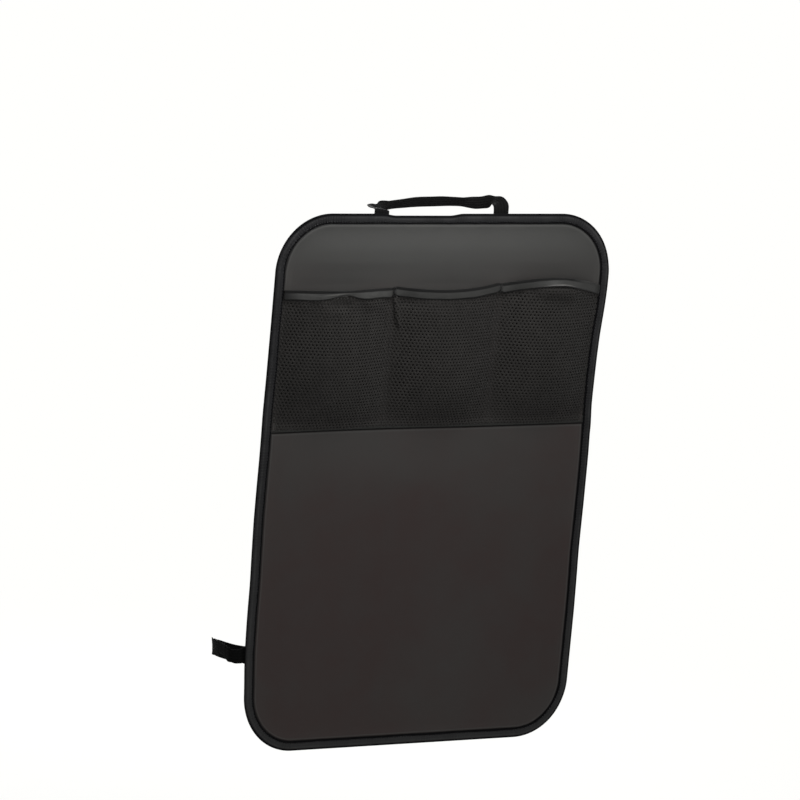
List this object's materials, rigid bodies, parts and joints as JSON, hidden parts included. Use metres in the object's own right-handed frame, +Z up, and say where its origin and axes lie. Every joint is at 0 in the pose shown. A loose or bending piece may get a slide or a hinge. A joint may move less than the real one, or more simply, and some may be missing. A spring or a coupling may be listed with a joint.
{
  "type": "car seat back organizer",
  "caption": "Flat fabric organizer that hangs on the back of a car seat, with net pockets under an elastic hem and webbing straps for the headrest and the lower seat back.",
  "frame": {"origin": "centre of the panel's back face, where it lies against the seat back", "axes": "+X to the right of someone who looks at the pockets, +Y from the pockets through the panel into the seat back, +Z up"},
  "size_m": [0.4895, 0.1246, 0.666],
  "materials": {
    "panel_fabric": "coated cloth, soft satin",
    "binding_tape": "woven tape, matte",
    "net": "knitted net, matte",
    "elastic": "elastic ribbon, satin",
    "webbing": "woven webbing, low sheen",
    "fastener_tape": "hook and loop tape, matte"
  },
  "bodies": {
    "root": {"back_panel": "panel_fabric", "edge_binding": "binding_tape", "pocket_net": "net", "pocket_hem": "elastic", "top_strap": "webbing", "lower_strap_left": "webbing", "lower_strap_right": "webbing", "loop_patch": "fastener_tape", "hook_patch": "fastener_tape"}
  },
  "joints": []
}
